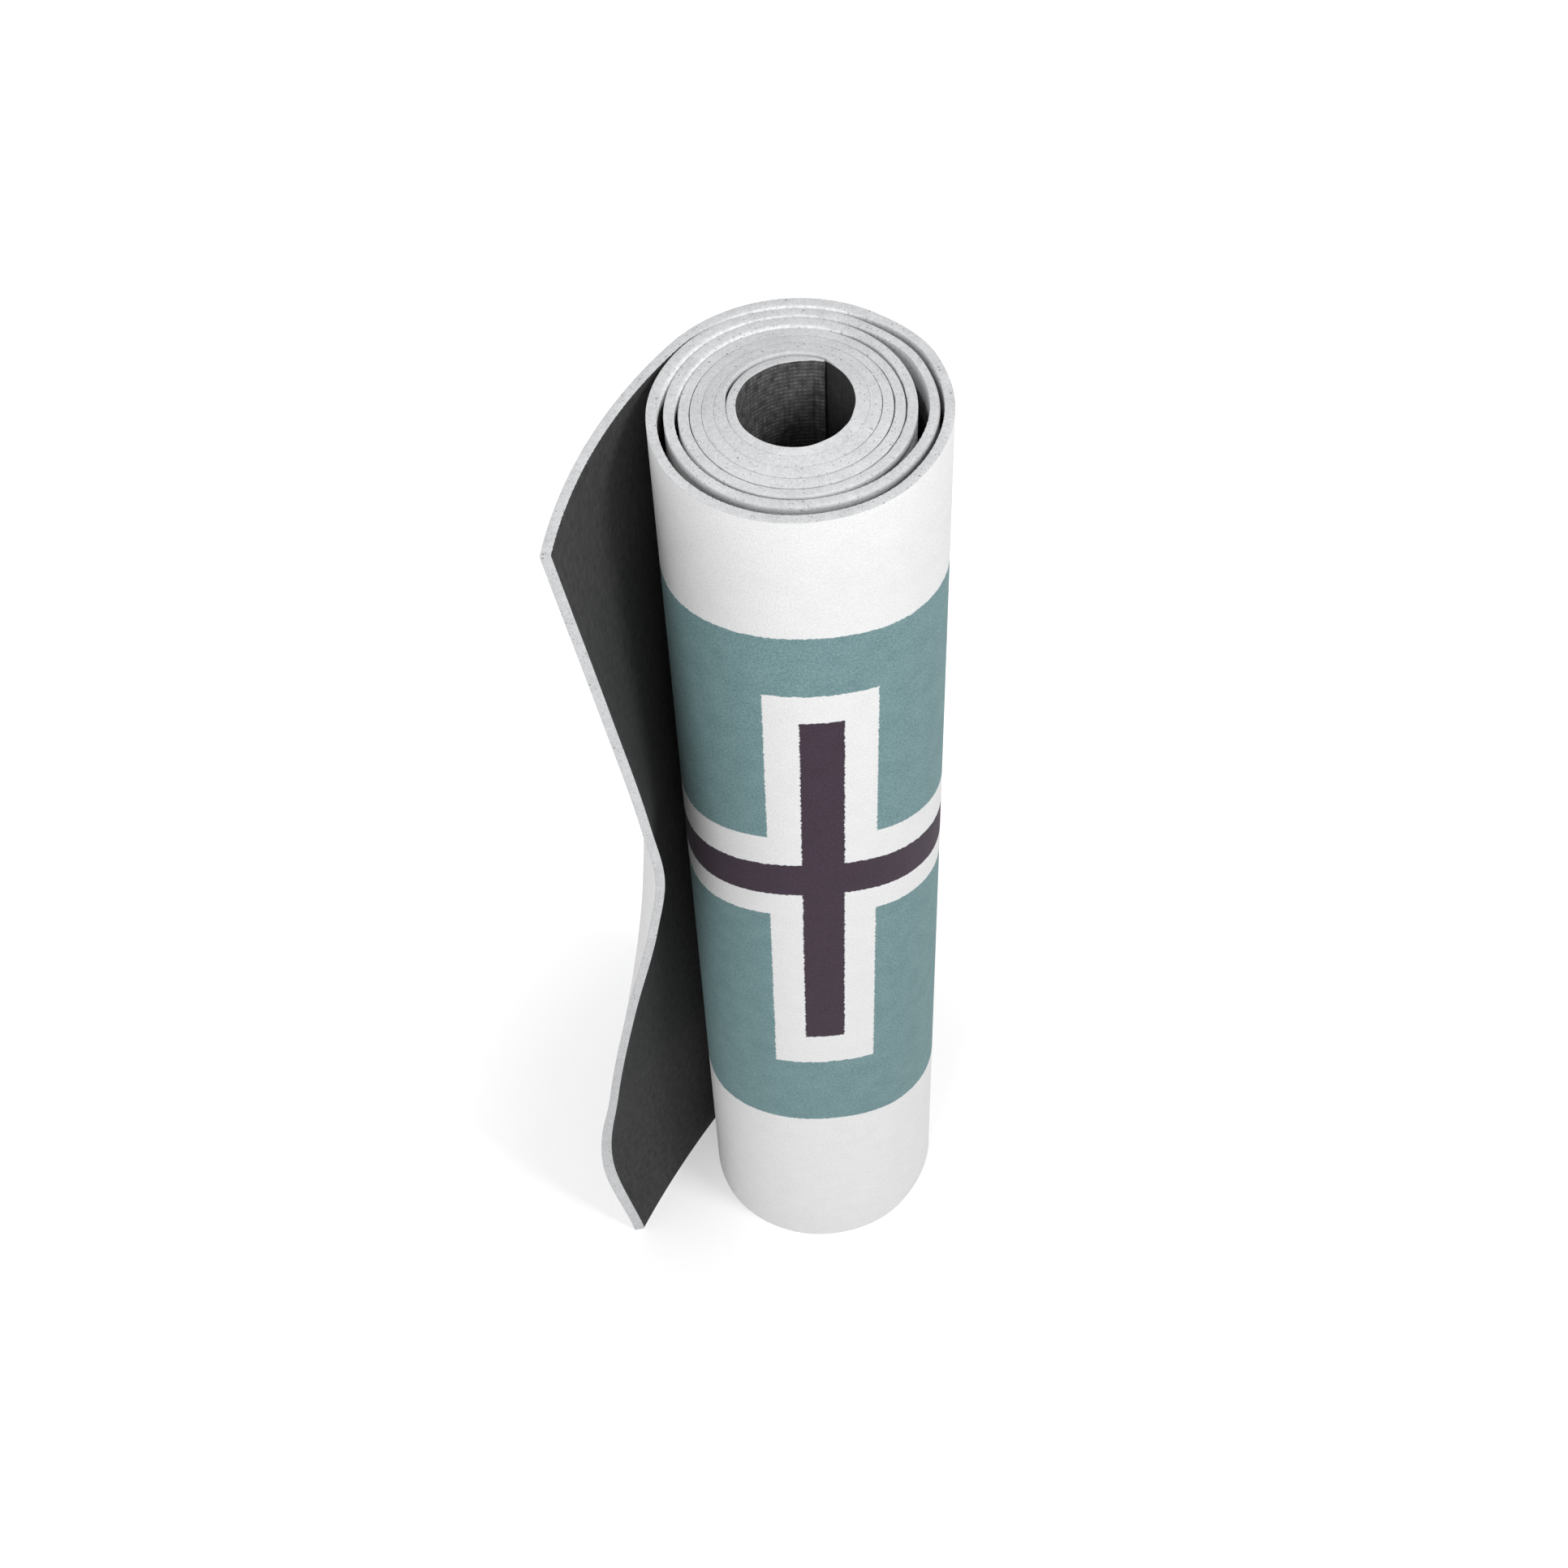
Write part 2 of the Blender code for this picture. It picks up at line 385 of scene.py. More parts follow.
def gap_under(turn):
    """How much farther apart than in contact each turn and the one inside it lie."""
    settle = np.clip((turn - 1) / SETTLE_TURNS, 0, 1)
    climb_slope = PITCH / (1 - CLIMB_START_TURN)
    settling = climb_slope * SETTLE_TURNS * settle * (1 - settle) ** 2
    return settling + WIDEST_GAP * eased(GAP_SHARES, turn)


def turn_radius(turn):
    """Radius of the sheet's middle: a climb over the inner end, then turn laid on turn."""
    first = turn % 1
    climb = np.maximum(0, (first - CLIMB_START_TURN) / (1 - CLIMB_START_TURN))
    radius = EYE_RADIUS + OUTER_SIDE + PITCH * climb**2 * (2 - climb)
    for lap in range(1, math.ceil(TURNS)):
        radius = radius + np.where(turn >= lap, PITCH + gap_under(first + lap), 0)
    return radius


def turn_azimuth(turn):
    """Angle about the roll's axis: a full circle for each turn, from the inner end's own."""
    return INNER_END_AZIMUTH + 2 * math.pi * turn


def roll_point(turn):
    """Plan place of the sheet's middle: its radius about an eye that drifts to the roll's axis."""
    off_axis = 1 - smooth((turn - CENTRING_START_TURN) / CENTRING_TURNS)
    azimuth = turn_azimuth(turn)
    around = np.stack([np.cos(azimuth), np.sin(azimuth)], axis=-1)
    return EYE_OFFSET * off_axis[..., None] + turn_radius(turn)[..., None] * around


def roll_heading(turn):
    """Direction along the sheet, from a place just before each turn to that turn's own."""
    start = np.maximum(0, turn - TURN_STEP)
    along = roll_point(start + TURN_STEP) - roll_point(start)
    return np.arctan2(along[..., 1], along[..., 0])


def outwards(heading):
    """Across the sheet, from its middle to the printed side, for this direction along it."""
    return np.stack([np.sin(heading), -np.cos(heading)], axis=-1)


def place_of(turn):
    """How far along the mat's printed side each turn is, up to zero where it leaves the roll."""
    steps = np.linspace(0, TURNS, MEASURING_STEPS)
    side = roll_point(steps) + outwards(roll_heading(steps)) * OUTER_SIDE
    lengths = np.append(0, np.cumsum(np.linalg.norm(np.diff(side, axis=0), axis=1)))
    return np.interp(turn, steps, lengths) - lengths[-1]


def rise(turn):
    """How far a turn stands proud: most at the inner end, falling as a power to none."""
    return INNER_RISE * np.maximum(0, 1 - turn / RISE_TURNS) ** RISE_POWER


LAST_TURN = np.array(float(TURNS))
LEAVING_POINT = roll_point(LAST_TURN)
LEAVING_HEADING = float(roll_heading(LAST_TURN))
LEAVING_CURL = 1 / float(turn_radius(LAST_TURN))
ROLL_RADIUS = float(turn_radius(LAST_TURN)) + OUTER_SIDE

# The root's hinge stands on the printed side where the mat leaves the roll, and its place in the
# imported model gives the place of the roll's axis
ROOT_HINGE = LEAVING_POINT + outwards(np.array(LEAVING_HEADING)) * OUTER_SIDE
ROOT_JOINT, TIP_JOINT = [
    next(joint for joint in frame["joints"] if joint["name"] == name)
    for name in ("loose_end_root", "loose_end_bend")
]
AXIS = np.array(ROOT_JOINT["pos_m"][:2]) - ROOT_HINGE


def in_frame(plan, height):
    """Points of the row frame, from plan places about the roll's axis and heights."""
    return np.concatenate([plan + AXIS, height[..., None]], axis=-1)


def loose_length(height_share):
    """Length of the loose end, which grows evenly from the floor to the top."""
    return LOOSE_LENGTH_BOTTOM + (LOOSE_LENGTH_TOP - LOOSE_LENGTH_BOTTOM) * height_share


def loose_curl(height_share):
    """Curl of the loose end per length: its whole turn at that height over its length there."""
    return np.radians(curved(CURL_DEGREES, height_share)) / loose_length(height_share)


def loose_path(length, curl, foot_turn):
    """Plan place and heading of the sheet's middle, this far from the roll, for a curl per length.

    The curl goes from the roll's own to the given one over the peel, where the sheet also makes
    its turn near the floor, and is summed up in steps.
    """
    step = (length / PATH_STEPS)[..., None]
    middles = (np.arange(PATH_STEPS) + 1 / 2) * step
    peeled = smooth(middles / PEEL_LENGTH)
    bends = (LEAVING_CURL * (1 - peeled) + curl[..., None] * peeled) * step
    headings = LEAVING_HEADING + np.cumsum(bends, axis=-1) - bends / 2
    headings = headings + foot_turn[..., None] * peeled
    steps = np.stack([np.cos(headings).sum(axis=-1), np.sin(headings).sum(axis=-1)], axis=-1)
    return LEAVING_POINT + steps * step, headings[..., -1] + bends[..., -1] / 2


def nick(length):
    """-1 to 1: the small waves that the knife leaves, as a sum of three sines along the mat."""
    waves = [np.sin(2 * math.pi * length / wave + phase) for wave, phase in NICK_WAVES]
    return sum(waves) / len(waves)


def facing(angle, centre, half_width, fade):
    """1 within half_width of the centre on the circle, easing to 0 over the fade."""
    swing = np.abs((angle - centre + math.pi) % (2 * math.pi) - math.pi)
    return smooth((half_width + fade - swing) / fade)


class Edge(NamedTuple):
    """What a cut edge looks like at each station, as arrays of lengths.

    outer and inner are the depths of the sheet's two sides, outer_round and inner_round how far
    the cut foam rounds over at them and outer_drop and inner_drop how far down. sag is how far
    the foam bulges beyond its inner side below that round, lip how much foam shows there above
    the backing and face_lip above the print side, and notch how far the knife's nicks stand back.
    """

    outer: np.ndarray
    inner: np.ndarray
    outer_round: np.ndarray
    outer_drop: np.ndarray
    inner_round: np.ndarray
    inner_drop: np.ndarray
    sag: np.ndarray
    lip: np.ndarray
    face_lip: np.ndarray
    notch: np.ndarray


def plain_edge(outer, inner, arris, notch):
    """An edge with the same small round on both sides, thin lips and no sag."""
    zero = np.zeros_like(outer)
    return Edge(
        outer=outer,
        inner=inner,
        outer_round=zero + arris,
        outer_drop=zero + arris,
        inner_round=zero + arris,
        inner_drop=zero + arris,
        sag=zero,
        lip=zero + BACKING_LIP,
        face_lip=zero + FACE_LIP,
        notch=zero + notch,
    )


def way_to_edge(layer, edge):
    """The outer and the inner side's way onto a cut edge, as (depth, drop) pairs of arrays.

    Both ways have as many points and end beside each other. The skins come up evenly and end
    under the foam's lips. The foam steps out over them and goes round as two quarter ovals.
    """
    swing = np.linspace(0, math.pi / 2, ARRIS_POINTS)
    quarter = [(1 - math.cos(angle), 1 - math.sin(angle)) for angle in swing]
    even = np.linspace(1, 0, ARRIS_POINTS)
    if layer == "face":
        top = edge.outer_drop + edge.face_lip + SKIN_CLEARANCE
        outer = [(edge.outer - FACE_ARRIS * off, top + FACE_ARRIS * down) for off, down in quarter]
        inner = [(edge.outer - FACE_SKIN, top + FACE_ARRIS * share) for share in even]
        return outer, inner
    backing_top = edge.inner_drop + edge.lip
    if layer == "backing":
        drops = [backing_top + BACKING_SKIN * share for share in even]
        outer = [(edge.inner + BACKING_SKIN, drop) for drop in drops]
        inner = [(edge.inner, drop) for drop in drops]
        return outer, inner
    face_top = edge.outer_drop + edge.face_lip
    outer = [(edge.outer - FACE_SKIN + SKIN_OVERLAP, face_top), (edge.outer, face_top)]
    outer += [
        (edge.outer - edge.outer_round * off, edge.outer_drop * down) for off, down in quarter
    ]
    foam_side = edge.inner + edge.notch - edge.sag
    foam_round = edge.sag + edge.inner_round
    inner = [(edge.inner + BACKING_SKIN - SKIN_OVERLAP, backing_top), (foam_side, backing_top)]
    inner += [(foam_side + foam_round * off, edge.inner_drop * down) for off, down in quarter]
    middle = (edge.outer + edge.inner) / 2
    zero = np.zeros_like(middle)
    return outer + [(middle + FLAT_REACH, zero)], inner + [(middle - FLAT_REACH, zero)]


def outline(layer, rows, foot_edge, top_edge):
    """Depths and heights of a layer's two sides, from the foot's middle to the top's middle.

    Each side is its way down to the foot, turned round, then even rows, then its way to the top.
    """
    shares = np.linspace(0, 1, rows + 2)[1:-1]
    sides = []
    for foot, top in zip(way_to_edge(layer, foot_edge), way_to_edge(layer, top_edge)):
        (low_depth, low), (_, high) = foot[0], top[0]
        points = foot[::-1]
        points += [(low_depth, low + (MAT_WIDTH - high - low) * share) for share in shares]
        points += [(depth, MAT_WIDTH - drop) for depth, drop in top]
        sides.append(np.stack([np.stack(column, axis=-1) for column in zip(*points)]))
    return sides


def closed_sheet(name, outer, inner, places, painted_light=0, gap_shade=0):
    """A closed body from its two sides' points, each stations by points by 3.

    The outline at a station is the outer side up and the inner side down. Quads join it to the
    next station's outline, and each end is a ladder of quads from side to side. places gives each
    point's place along the mat and its height, kept as the mesh's UV map. The last two give how
    much painted light each point of the inner side gets and how much painted shade each point of
    the outer side gets, kept as attributes.
    """
    stations, points = outer.shape[:2]
    loop = 2 * points
    corners = np.concatenate([outer, inner[:, ::-1]], axis=1).reshape(-1, 3)
    flat = np.concatenate([places[0], places[1][:, ::-1]], axis=1).reshape(-1, 2)
    start = (np.arange(stations - 1) * loop)[:, None]
    here = start + np.arange(loop)
    after = start + (np.arange(loop) + 1) % loop
    skin = np.stack([here, here + loop, after + loop, after], axis=-1).reshape(-1, 4)
    up = np.arange(points - 1)
    first = np.stack([up, up + 1, loop - 2 - up, loop - 1 - up], axis=-1)
    last = first[:, ::-1] + (stations - 1) * loop
    quads = np.concatenate([skin, first, last])
    mesh = bpy.data.meshes.new(name)
    mesh.vertices.add(len(corners))
    mesh.vertices.foreach_set("co", corners.astype(np.float32).ravel())
    mesh.loops.add(quads.size)
    mesh.loops.foreach_set("vertex_index", quads.astype(np.int32).ravel())
    mesh.polygons.add(len(quads))
    mesh.polygons.foreach_set("loop_start", np.arange(0, quads.size, 4, dtype=np.int32))
    mesh.update(calc_edges=True)
    layer = mesh.uv_layers.new(name="mat")
    layer.uv.foreach_set("vector", flat[quads.ravel()].astype(np.float32).ravel())
    bare = np.zeros((stations, points), np.float32)
    wears = {"painted_light": (bare, bare + painted_light), "gap_shade": (bare + gap_shade, bare)}
    for wear, (on_outer, on_inner) in wears.items():
        values = np.concatenate([on_outer, on_inner[:, ::-1]], axis=1).astype(np.float32)
        mesh.attributes.new(wear, "FLOAT", "POINT").data.foreach_set("value", values.ravel())
    mesh.validate()
    mesh.shade_smooth()
    mesh.set_sharp_from_angle(angle=SHARP_ANGLE)
    made = bpy.data.objects.new(name, mesh)
    bpy.context.scene.collection.objects.link(made)
    return made


def mat_map(layer, place, height):
    """Places along the mat with heights, and for the face with heights on its print.

    The printed lines drop to both sides of the roll as a sine squared, lean by a sine from its
    left side to its right, and then run level.
    """
    place = np.broadcast_to(place, height.shape)
    if layer == "face":
        angle = np.clip((place - FIGURE_PLACE) / ROLL_RADIUS, -math.pi / 2, math.pi / 2)
        drop = WIDEST_DROP * eased(DROP_SHARES, height / MAT_WIDTH) * np.sin(angle) ** 2
        height = height + drop + LINE_LEAN * np.sin(angle)
    return np.stack([place, height], axis=-1)


def roll_edges(turn, place):
    """The wound part's foot and top edges, how far it has sagged and stands open, and its painted
    shade.

    share is how tightly the turns are pressed together. Each other share is 1 on its own stretch
    of turns or side of the roll and fades to 0 beyond, and the edge's lengths add up from them.
    """
    azimuth = turn_azimuth(turn)
    ripple = SWELL_RIPPLE * nick(place / RIPPLE_STRETCH)
    share = eased(SWELL_SHARES, turn)
    groove = smooth((GROOVE_HALF_TURNS + FADE_TURNS - np.abs(turn - GROOVE_TURN)) / FADE_TURNS)
    swell_inwards = (TURN_SWELL - ripple) * share * (1 - groove)
    outer = OUTER_SIDE + (TURN_SWELL + ripple) * share
    inner = GROOVE_WIDTH * groove - OUTER_SIDE - swell_inwards - eased(RIM_BULGE, turn)
    before_end = smooth((TURNS - turn) / FADE_TURNS)
    before_last_turn = smooth((TURNS - 1 - turn) / FADE_TURNS)
    standing_open = smooth((turn - SAG_FROM_TURN) / FADE_TURNS) * before_end
    covered = smooth((turn - GAP_FROM_TURN) / FADE_TURNS) * before_last_turn
    sagged = facing(azimuth, SAG_AZIMUTH, SAG_HALF_WIDTH, SAG_FADE) * standing_open
    deep = facing(azimuth, DEEP_LIP_AZIMUTH, 0, DEEP_LIP_FADE) * standing_open
    # Painted shade on the foam's lip over the print side, in the gaps at the right
    gap_shade = covered * facing(azimuth, GAP_SHADE_AZIMUTH, GAP_SHADE_HALF_WIDTH, GAP_SHADE_FADE)
    outer_round = eased(OUTER_ROUND, turn)
    inner_round = eased(INNER_ROUND, turn) + GROOVE_ROUND * groove
    top = Edge(
        outer=outer,
        inner=inner,
        outer_round=outer_round,
        outer_drop=outer_round * OUTER_DROP_SHARE,
        inner_round=inner_round,
        inner_drop=inner_round + SAG_DROP * sagged + (GROOVE_DROP - GROOVE_ROUND) * groove,
        sag=sagged * (CONTACT_GAP + gap_under(turn) - SAG_CLEARANCE),
        lip=BACKING_LIP + OUTER_LIP * standing_open + (DEEP_LIP - OUTER_LIP) * deep,
        face_lip=FACE_LIP + TIGHT_FACE_LIP * share + GAP_FACE_LIP * covered,
        notch=NICK_DEPTH * (1 + nick(place)) * (1 - share),
    )
    return plain_edge(outer, inner, FOOT_ARRIS, 0), top, sagged, standing_open, gap_shade


def roll_layer(layer):
    """The wound part of a layer: its outline carried along the winding.

    The rise grows with the height and is taken at each point's own depth, so the cut edges of
    the tight turns lie on one shallow cone. The backing wraps the inner end, ahead of the others.
    The backing's painted light lies near the top of the open gaps, and the foam's is a painted
    highlight where it has sagged.
    """
    tight = np.linspace(0, OUTER_FROM_TURN, int(OUTER_FROM_TURN * TIGHT_COLUMNS_PER_TURN) + 1)
    outer_columns = int((TURNS - OUTER_FROM_TURN) * OUTER_COLUMNS_PER_TURN[layer])
    outer_turns = np.linspace(OUTER_FROM_TURN, TURNS, outer_columns + 1)[1:]
    turn = np.concatenate([[END_WRAP_TURNS], tight[1:], outer_turns])
    if layer == "backing":
        turn = np.concatenate([[0.0], turn])
    middle = roll_point(turn)
    across = outwards(roll_heading(turn))
    place = place_of(turn)
    *edges, sagged, standing_open, gap_shade = roll_edges(turn, place)
    outer_side, inner_side = outline(layer, SIDE_ROWS[layer], *edges)
    if layer == "backing":
        outer_side[0][0] = OUTER_SIDE
    sides = []
    places = []
    for depth, height in (outer_side, inner_side):
        plan = middle[:, None] + across[:, None] * depth[..., None]
        lifted = rise(turn[:, None] + depth / PITCH * height / MAT_WIDTH)
        sides.append(in_frame(plan, height + lifted))
        places.append(mat_map(layer, place[:, None], height))
    # Painted light: in the backing's open gaps, and a painted highlight on the foam's sagged slope
    if layer == "backing":
        painted_light = standing_open[:, None]
    else:
        painted_light = smooth((MAT_WIDTH - inner_side[1]) / HIGHLIGHT_FROM_DROP) * sagged[:, None]
    below_top = smooth((MAT_WIDTH - outer_side[1]) / GAP_SHADE_DROP)
    gap_shade = gap_shade[:, None] * (below_top * (outer_side[1] > MAT_WIDTH / 2))
    return closed_sheet(f"roll_{PIECE_NAMES[layer]}", *sides, places, painted_light, gap_shade)


def loose_layer(strip, layer, start, end):
    """A part of the loose end, between two shares of its length: its outline along the peeled path.

    At the free edge the foam steps out over the skins' ends and rounds off as two quarter circles.
    """
    share = np.linspace(start, end, round(LOOSE_COLUMNS * (end - start)) + 1)
    short = np.where(share == 1, END_DEPTH + END_ROUND, 0.0)
    past = np.zeros_like(share)
    angles = np.zeros_like(share)
    if end == 1 and layer == "core":
        swing = np.linspace(0, math.pi / 2, ARRIS_POINTS)
        share = np.concatenate([share, np.ones(ARRIS_POINTS + 1)])
        short = np.concatenate([short, [short[-1]], END_ROUND * (1 - np.sin(swing))])
        past = np.append(past, np.ones(ARRIS_POINTS + 1))
        angles = np.concatenate([angles, [0.0], swing])
    sheet = np.full_like(share, OUTER_SIDE)
    mean_length = (LOOSE_LENGTH_BOTTOM + LOOSE_LENGTH_TOP) / 2
    notch = NICK_DEPTH * (1 + nick(share * mean_length))
    edges = plain_edge(sheet, -sheet, FOOT_ARRIS, 0), plain_edge(sheet, -sheet, CUT_ARRIS, notch)
    limit = (OUTER_SIDE - END_ROUND * (1 - np.cos(angles)))[:, None]
    over_face = ((FACE_SKIN - SKIN_OVERLAP) * past)[:, None]
    over_backing = ((BACKING_SKIN - SKIN_OVERLAP) * past)[:, None]
    (outer_depth, outer_height), (inner_depth, inner_height) = outline(layer, LOOSE_ROWS, *edges)
    outer_side = np.minimum(outer_depth + over_face, limit), outer_height
    inner_side = np.maximum(inner_depth - over_backing, -limit), inner_height
    sides = []
    places = []
    for depth, height in (outer_side, inner_side):
        level = height / MAT_WIDTH
        slant = eased(SLANT_LENGTHS, level) * (1 + depth / OUTER_SIDE) / 2
        slant = slant * smooth((share[:, None] - SLANT_FROM_SHARE) / (1 - SLANT_FROM_SHARE))
        length = share[:, None] * loose_length(level) - short[:, None] + slant
        foot_turn = FOOT_TURN * (1 - smooth(level / FOOT_TURN_SHARE))
        middle, heading = loose_path(length, loose_curl(level), foot_turn)
        plan = middle + outwards(heading) * depth[..., None]
        sides.append(in_frame(plan, height))
        places.append(mat_map(layer, length + OUTER_SIDE * (heading - LEAVING_HEADING), height))
    return closed_sheet(f"{strip}_{PIECE_NAMES[layer]}", *sides, places)


def srgb(code):
    """Linear colour of an sRGB hex value."""
    parts = [int(code[i : i + 2], 16) / 255 for i in (0, 2, 4)]
    return (*[p / 12.92 if p <= 0.04045 else ((p + 0.055) / 1.055) ** 2.4 for p in parts], 1.0)


def add_node(tree, kind, inputs=(), **settings):
    """Adds one node. inputs holds (socket, value or another node's output) pairs."""
    node = tree.nodes.new(kind)
    for name, value in settings.items():
        setattr(node, name, value)
    for socket, value in inputs:
        if isinstance(value, bpy.types.NodeSocket):
            tree.links.new(value, node.inputs[socket])
        else:
            node.inputs[socket].default_value = value
    return node


def new_material(name, roughness, specular):
    """A material with its tree and shader, as matt and as shiny as these two values say."""
    made = bpy.data.materials.new(name)
    made.use_nodes = True
    shader = made.node_tree.nodes["Principled BSDF"]
    shader.inputs["Roughness"].default_value = roughness
    shader.inputs["Specular IOR Level"].default_value = specular
    return made, made.node_tree, shader


def surface(tree, shader, colour, relief, strength, depth):
    """Gives the shader its colour, and a relief of this depth in metres."""
    tree.links.new(colour, shader.inputs["Base Color"])
    bumps = (("Strength", strength), ("Distance", depth), ("Height", relief))
    bump = add_node(tree, "ShaderNodeBump", bumps)
    tree.links.new(bump.outputs[0], shader.inputs["Normal"])


def sum_up(tree, operation, first, *others):
    """The same sum over several values: first op second, op third, and so on."""
    value = first
    for other in others:
        pair = ((0, value), (1, other))
        value = add_node(tree, "ShaderNodeMath", pair, operation=operation).outputs[0]
    return value


def weigh(tree, *layers):
    """Several values added up by their shares, from (value, share) pairs."""
    return sum_up(tree, "ADD", *[sum_up(tree, "MULTIPLY", value, share) for value, share in layers])


def lay_over(tree, colour, *coats):
    """A colour under coats, each a (share, colour) pair that covers what is below by its share."""
    for share, coat in coats:
        inputs = ((0, share), (6, colour), (7, coat))
        colour = add_node(tree, "ShaderNodeMix", inputs, data_type="RGBA").outputs[2]
    return colour


def printed_bar(tree, value, low, high):
    """1 between two lines of the print and 0 outside, with the ink's narrow blur."""
    off_middle = sum_up(tree, "SUBTRACT", value, (low + high) / 2)
    away = add_node(tree, "ShaderNodeMath", ((0, off_middle),), operation="ABSOLUTE").outputs[0]
    half = (high - low) / 2
    fall = (("Value", away), ("From Min", half - INK_BLUR), ("From Max", half + INK_BLUR))
    fall += (("To Min", 1.0), ("To Max", 0.0))
    return add_node(tree, "ShaderNodeMapRange", fall).outputs[0]


def grain(tree, vector, spacing, detail=2.0, low=0.3, high=0.7):
    """Noise with its lumps this far apart, stretched from its low and high to run from 0 to 1."""
    lumps = (("Vector", vector), ("Scale", 1 / spacing), ("Detail", detail))
    noise = add_node(tree, "ShaderNodeTexNoise", lumps)
    stretch = (("Value", noise.outputs[0]), ("From Min", low), ("From Max", high))
    return add_node(tree, "ShaderNodeMapRange", stretch).outputs[0]


def grit(tree, vector, spacing, radius, share):
    """1 in small round spots, this far apart and this big, of which the given share is there."""
    cells = add_node(tree, "ShaderNodeTexVoronoi", (("Vector", vector), ("Scale", 1 / spacing)))
    size = radius / spacing
    fall = (("Value", cells.outputs["Distance"]), ("From Min", size * SPOT_CORE_SHARE))
    fall += (("From Max", size), ("To Min", 1.0), ("To Max", 0.0))
    spots = add_node(tree, "ShaderNodeMapRange", fall).outputs[0]
    chance = add_node(tree, "ShaderNodeSeparateColor", ((0, cells.outputs["Color"]),)).outputs[0]
    pair = ((0, chance), (1, share))
    there = add_node(tree, "ShaderNodeMath", pair, operation="LESS_THAN").outputs[0]
    return sum_up(tree, "MULTIPLY", spots, there)


def printed_suede():
    """Brushed polyurethane suede with dye printed in it: matt, faintly ribbed, a soft sheen.

    The nap takes the dye unevenly, in a fine grain with tufts and broader clouds under it. The
    real nap's fibres and tufts are 0.05 to 0.3 mm across, too fine to show, and so its grain is
    drawn 0.9 mm apart.
    """
    name = "printed_polyurethane_suede"
    made, tree, shader = new_material(name, roughness=0.85, specular=0.25)
    shader.inputs["Sheen Weight"].default_value = 0.06
    mat = add_node(tree, "ShaderNodeUVMap", uv_map="mat").outputs[0]

    # The dye's outlines wander a little, and the upright bars lean
    wander = grain(tree, mat, INK_WANDER_SPACING, low=0.0, high=1.0)
    wander = sum_up(tree, "MULTIPLY", sum_up(tree, "SUBTRACT", wander, 0.5), INK_WANDER)
    place = add_node(tree, "ShaderNodeSeparateXYZ", ((0, mat),))
    height = sum_up(tree, "ADD", place.outputs[1], wander)
    lean = sum_up(tree, "MULTIPLY", height, -FIGURE_LEAN_SHARE)
    along = sum_up(
        tree, "ADD", place.outputs[0], wander, lean, FIGURE_LEAN_SHARE * MAT_WIDTH / 2
    )

    def upright(half_width, bottom, top):
        sides = printed_bar(tree, along, FIGURE_PLACE - half_width, FIGURE_PLACE + half_width)
        return sum_up(tree, "MULTIPLY", sides, printed_bar(tree, height, bottom, top))

    slant = sum_up(tree, "MULTIPLY", height, MARGIN_SLANT_SHARE)
    margin = ((0, sum_up(tree, "SUBTRACT", place.outputs[0], slant)), (1, MARGIN_PLACE))
    inked = add_node(tree, "ShaderNodeMath", margin, operation="LESS_THAN").outputs[0]
    box = upright(BOX_HALF_WIDTH, BOX_BOTTOM, BOX_TOP)
    stripe = printed_bar(tree, height, STRIPE_BOTTOM, STRIPE_TOP)
    plain = sum_up(tree, "MAXIMUM", box, stripe)
    band = printed_bar(tree, height, BAND_BOTTOM, BAND_TOP)
    teal = sum_up(tree, "MULTIPLY", band, inked, sum_up(tree, "SUBTRACT", 1.0, plain))
    line = sum_up(tree, "MULTIPLY", inked, printed_bar(tree, height, LINE_BOTTOM, LINE_TOP))
    cross = sum_up(tree, "MAXIMUM", upright(BAR_HALF_WIDTH, BAR_BOTTOM, BAR_TOP), line)

    nap = grain(tree, mat, NAP_SPACING, detail=3.0, low=0.36, high=0.64)
    tufts = grain(tree, mat, TUFT_SPACING)
    clouds = grain(tree, mat, DYE_CLOUD_SPACING, detail=4.0)
    mottle = weigh(tree, (nap, 0.5), (tufts, 0.3), (clouds, 0.2))
    white = lay_over(tree, srgb("E4E4E5"), (mottle, srgb("F7F7F7")))
    ink = lay_over(tree, srgb("587A7D"), (mottle, srgb("8AA8AB")))
    dark = lay_over(tree, srgb("2F222E"), (mottle, srgb("453545")))
    colour = lay_over(tree, white, (teal, ink), (cross, dark))

    scale = WAVE_SPACING / RIB_SPACING
    waves = (("Vector", mat), ("Scale", scale), ("Distortion", 1.5), ("Detail Scale", 2.0))
    ribs = add_node(tree, "ShaderNodeTexWave", waves, bands_direction="X").outputs[1]
    relief = sum_up(tree, "ADD", sum_up(tree, "MULTIPLY", ribs, 0.35), nap)
    surface(tree, shader, colour, relief, strength=0.7, depth=0.00011)
    return made


